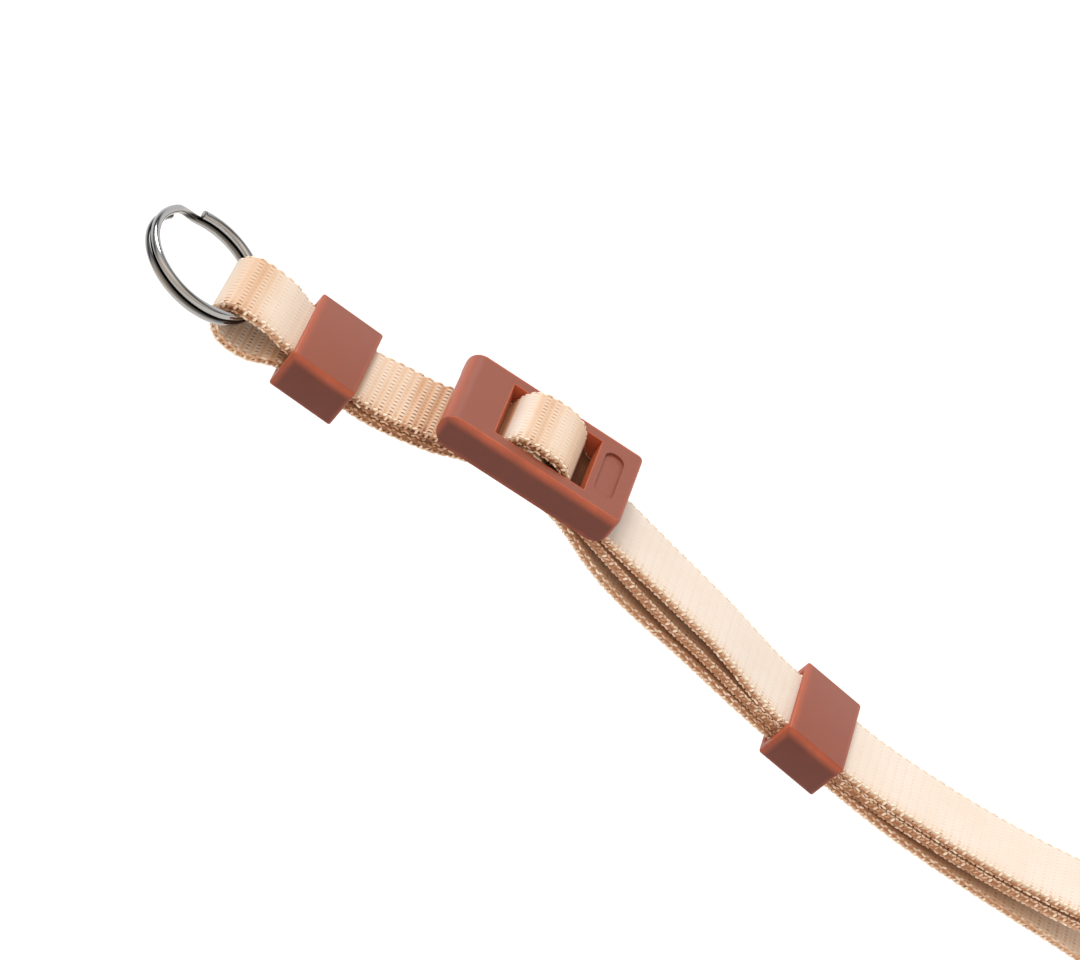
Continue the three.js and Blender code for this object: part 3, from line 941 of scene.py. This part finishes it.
def selvedge(name, side, material):
    corners, faces = stitch_pattern()
    placed = []
    for turn in range(int(tape_length / WEFT_PITCH)):
        for kind, stitch in enumerate(STITCHES):
            middle = turn * WEFT_PITCH + stitch.along * mm
            chance = noise.noise(Vector((middle / mm * 1.7, kind * 9.1, side * 5.3)))
            long, proud, high = (Vector(stitch.half) * (1 + SIZE_CHANCE * chance)) * mm
            slant = math.radians(stitch.slant + SLANT_CHANCE * chance)
            from_middle = TAPE_WIDE / 2 - stitch.inset * mm
            moved = []
            for corner in corners:
                x, y, z = corner.x * long, corner.y * proud, corner.z * high
                along = middle + x * math.cos(slant) - z * math.sin(slant)
                outwards = stitch.outwards * mm + x * math.sin(slant) + z * math.cos(slant)
                moved.append(tape_point(along, side * (from_middle + y), outwards))
            nearest = round(middle / tape_length * (len(stations) - 1))
            # Painted shade: a stitch takes the tape's least shade there and the stretch's listed
            # darkening.
            darker = min(shaded[nearest].values()) + stations[nearest].worn
            tone = stitch.tone + TONE_CHANCE * chance - STITCH_SHADE * darker
            placed.append((moved, faces, tone))
    return stitched_row(name, placed, material)


thread = stitch_thread()
selvedges = [selvedge("selvedge_near", -1, thread), selvedge("selvedge_far", 1, thread)]
for edge in selvedges:
    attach(edge, "root")


# ---------------------------------------------------------------- sewn end
# The tape's wrapped end is held to the leg below it by a bar tack: close zigzag stitches right
# across the tape, in the same thread.

TACK_FROM_END = 1.5 * mm
TACK_HALF = Vector((0.75, 0.12, 0.1)) * mm
TACK_STITCHES = 22
TACK_ACROSS = TAPE_WIDE * 0.84
TACK_SLANT = math.radians(16)
TACK_TONE = 0.75


def bar_tack(material):
    corners, faces = stitch_pattern()
    placed = []
    for index in range(TACK_STITCHES):
        across_middle = TACK_ACROSS * ((index + 0.5) / TACK_STITCHES - 0.5)
        slant = TACK_SLANT if index % 2 else -TACK_SLANT
        moved = []
        for corner in corners:
            x, y, z = corner * TACK_HALF
            along = TACK_FROM_END + x * math.cos(slant) - y * math.sin(slant)
            across = across_middle + x * math.sin(slant) + y * math.cos(slant)
            moved.append(tape_point(along, across, -TAPE_THICK / 2 - z))
        placed.append((moved, faces, TACK_TONE))
    return stitched_row("bar_tack", placed, material)


tack = bar_tack(thread)
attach(tack, "root")


# ---------------------------------------------------------------- floor and light
# A pale studio floor well below the hanging strap, one broad soft lamp high on the far side, and a
# dim surround that lets the near sides fall off.

FLOOR_BELOW = 0.25
FLOOR_WIDE = 9
LAMP_TURN = (math.radians(-26), math.radians(3), 0)
LAMP_POWER = 2.4
LAMP_SPREAD = math.radians(30)
ROOM_LIGHT = 0.12
WALL_LIGHT = 1.0
OVERHEAD_LIGHT = 0.6
FRONT_LIGHT = 0.9

floor_level = cad_bounds[0][2] - FLOOR_BELOW
bpy.ops.mesh.primitive_plane_add(size=FLOOR_WIDE, location=(*aim.xy, floor_level))
floor = bpy.context.object
floor.name = "floor"
floor_paint = new_finish("floor paint", Base_Color=shades(0.83, 0.83, 0.83), Roughness=0.9)[0]
floor.data.materials.append(floor_paint)

bpy.ops.object.light_add(type="SUN", rotation=LAMP_TURN)
lamp = bpy.context.object
lamp.data.energy = LAMP_POWER
lamp.data.angle = LAMP_SPREAD

world = bpy.data.worlds.new("studio")
world.use_nodes = True
bpy.context.scene.world = world
sky = Signal(world.node_tree, None)
_, backwards, upwards = sky.node("ShaderNodeTexCoord", output="Generated").parts()
wall = backwards.between(-0.1, 0.5) * upwards.between(0.62, 0.36)
overhead = upwards.between(0.66, 0.86)
front = backwards.between(0.0, -0.5) * upwards.between(-0.2, 0.15)
brightness = ROOM_LIGHT + wall * WALL_LIGHT + overhead * OVERHEAD_LIGHT + front * FRONT_LIGHT
warmth = front.mix(shades(0.97, 0.98, 1.0), shades(1.0, 0.87, 0.74))
background = world.node_tree.nodes["Background"]
sky.feed(background.inputs["Strength"], brightness)
sky.feed(background.inputs["Color"], warmth)
bpy.context.scene.view_settings.view_transform = "Standard"
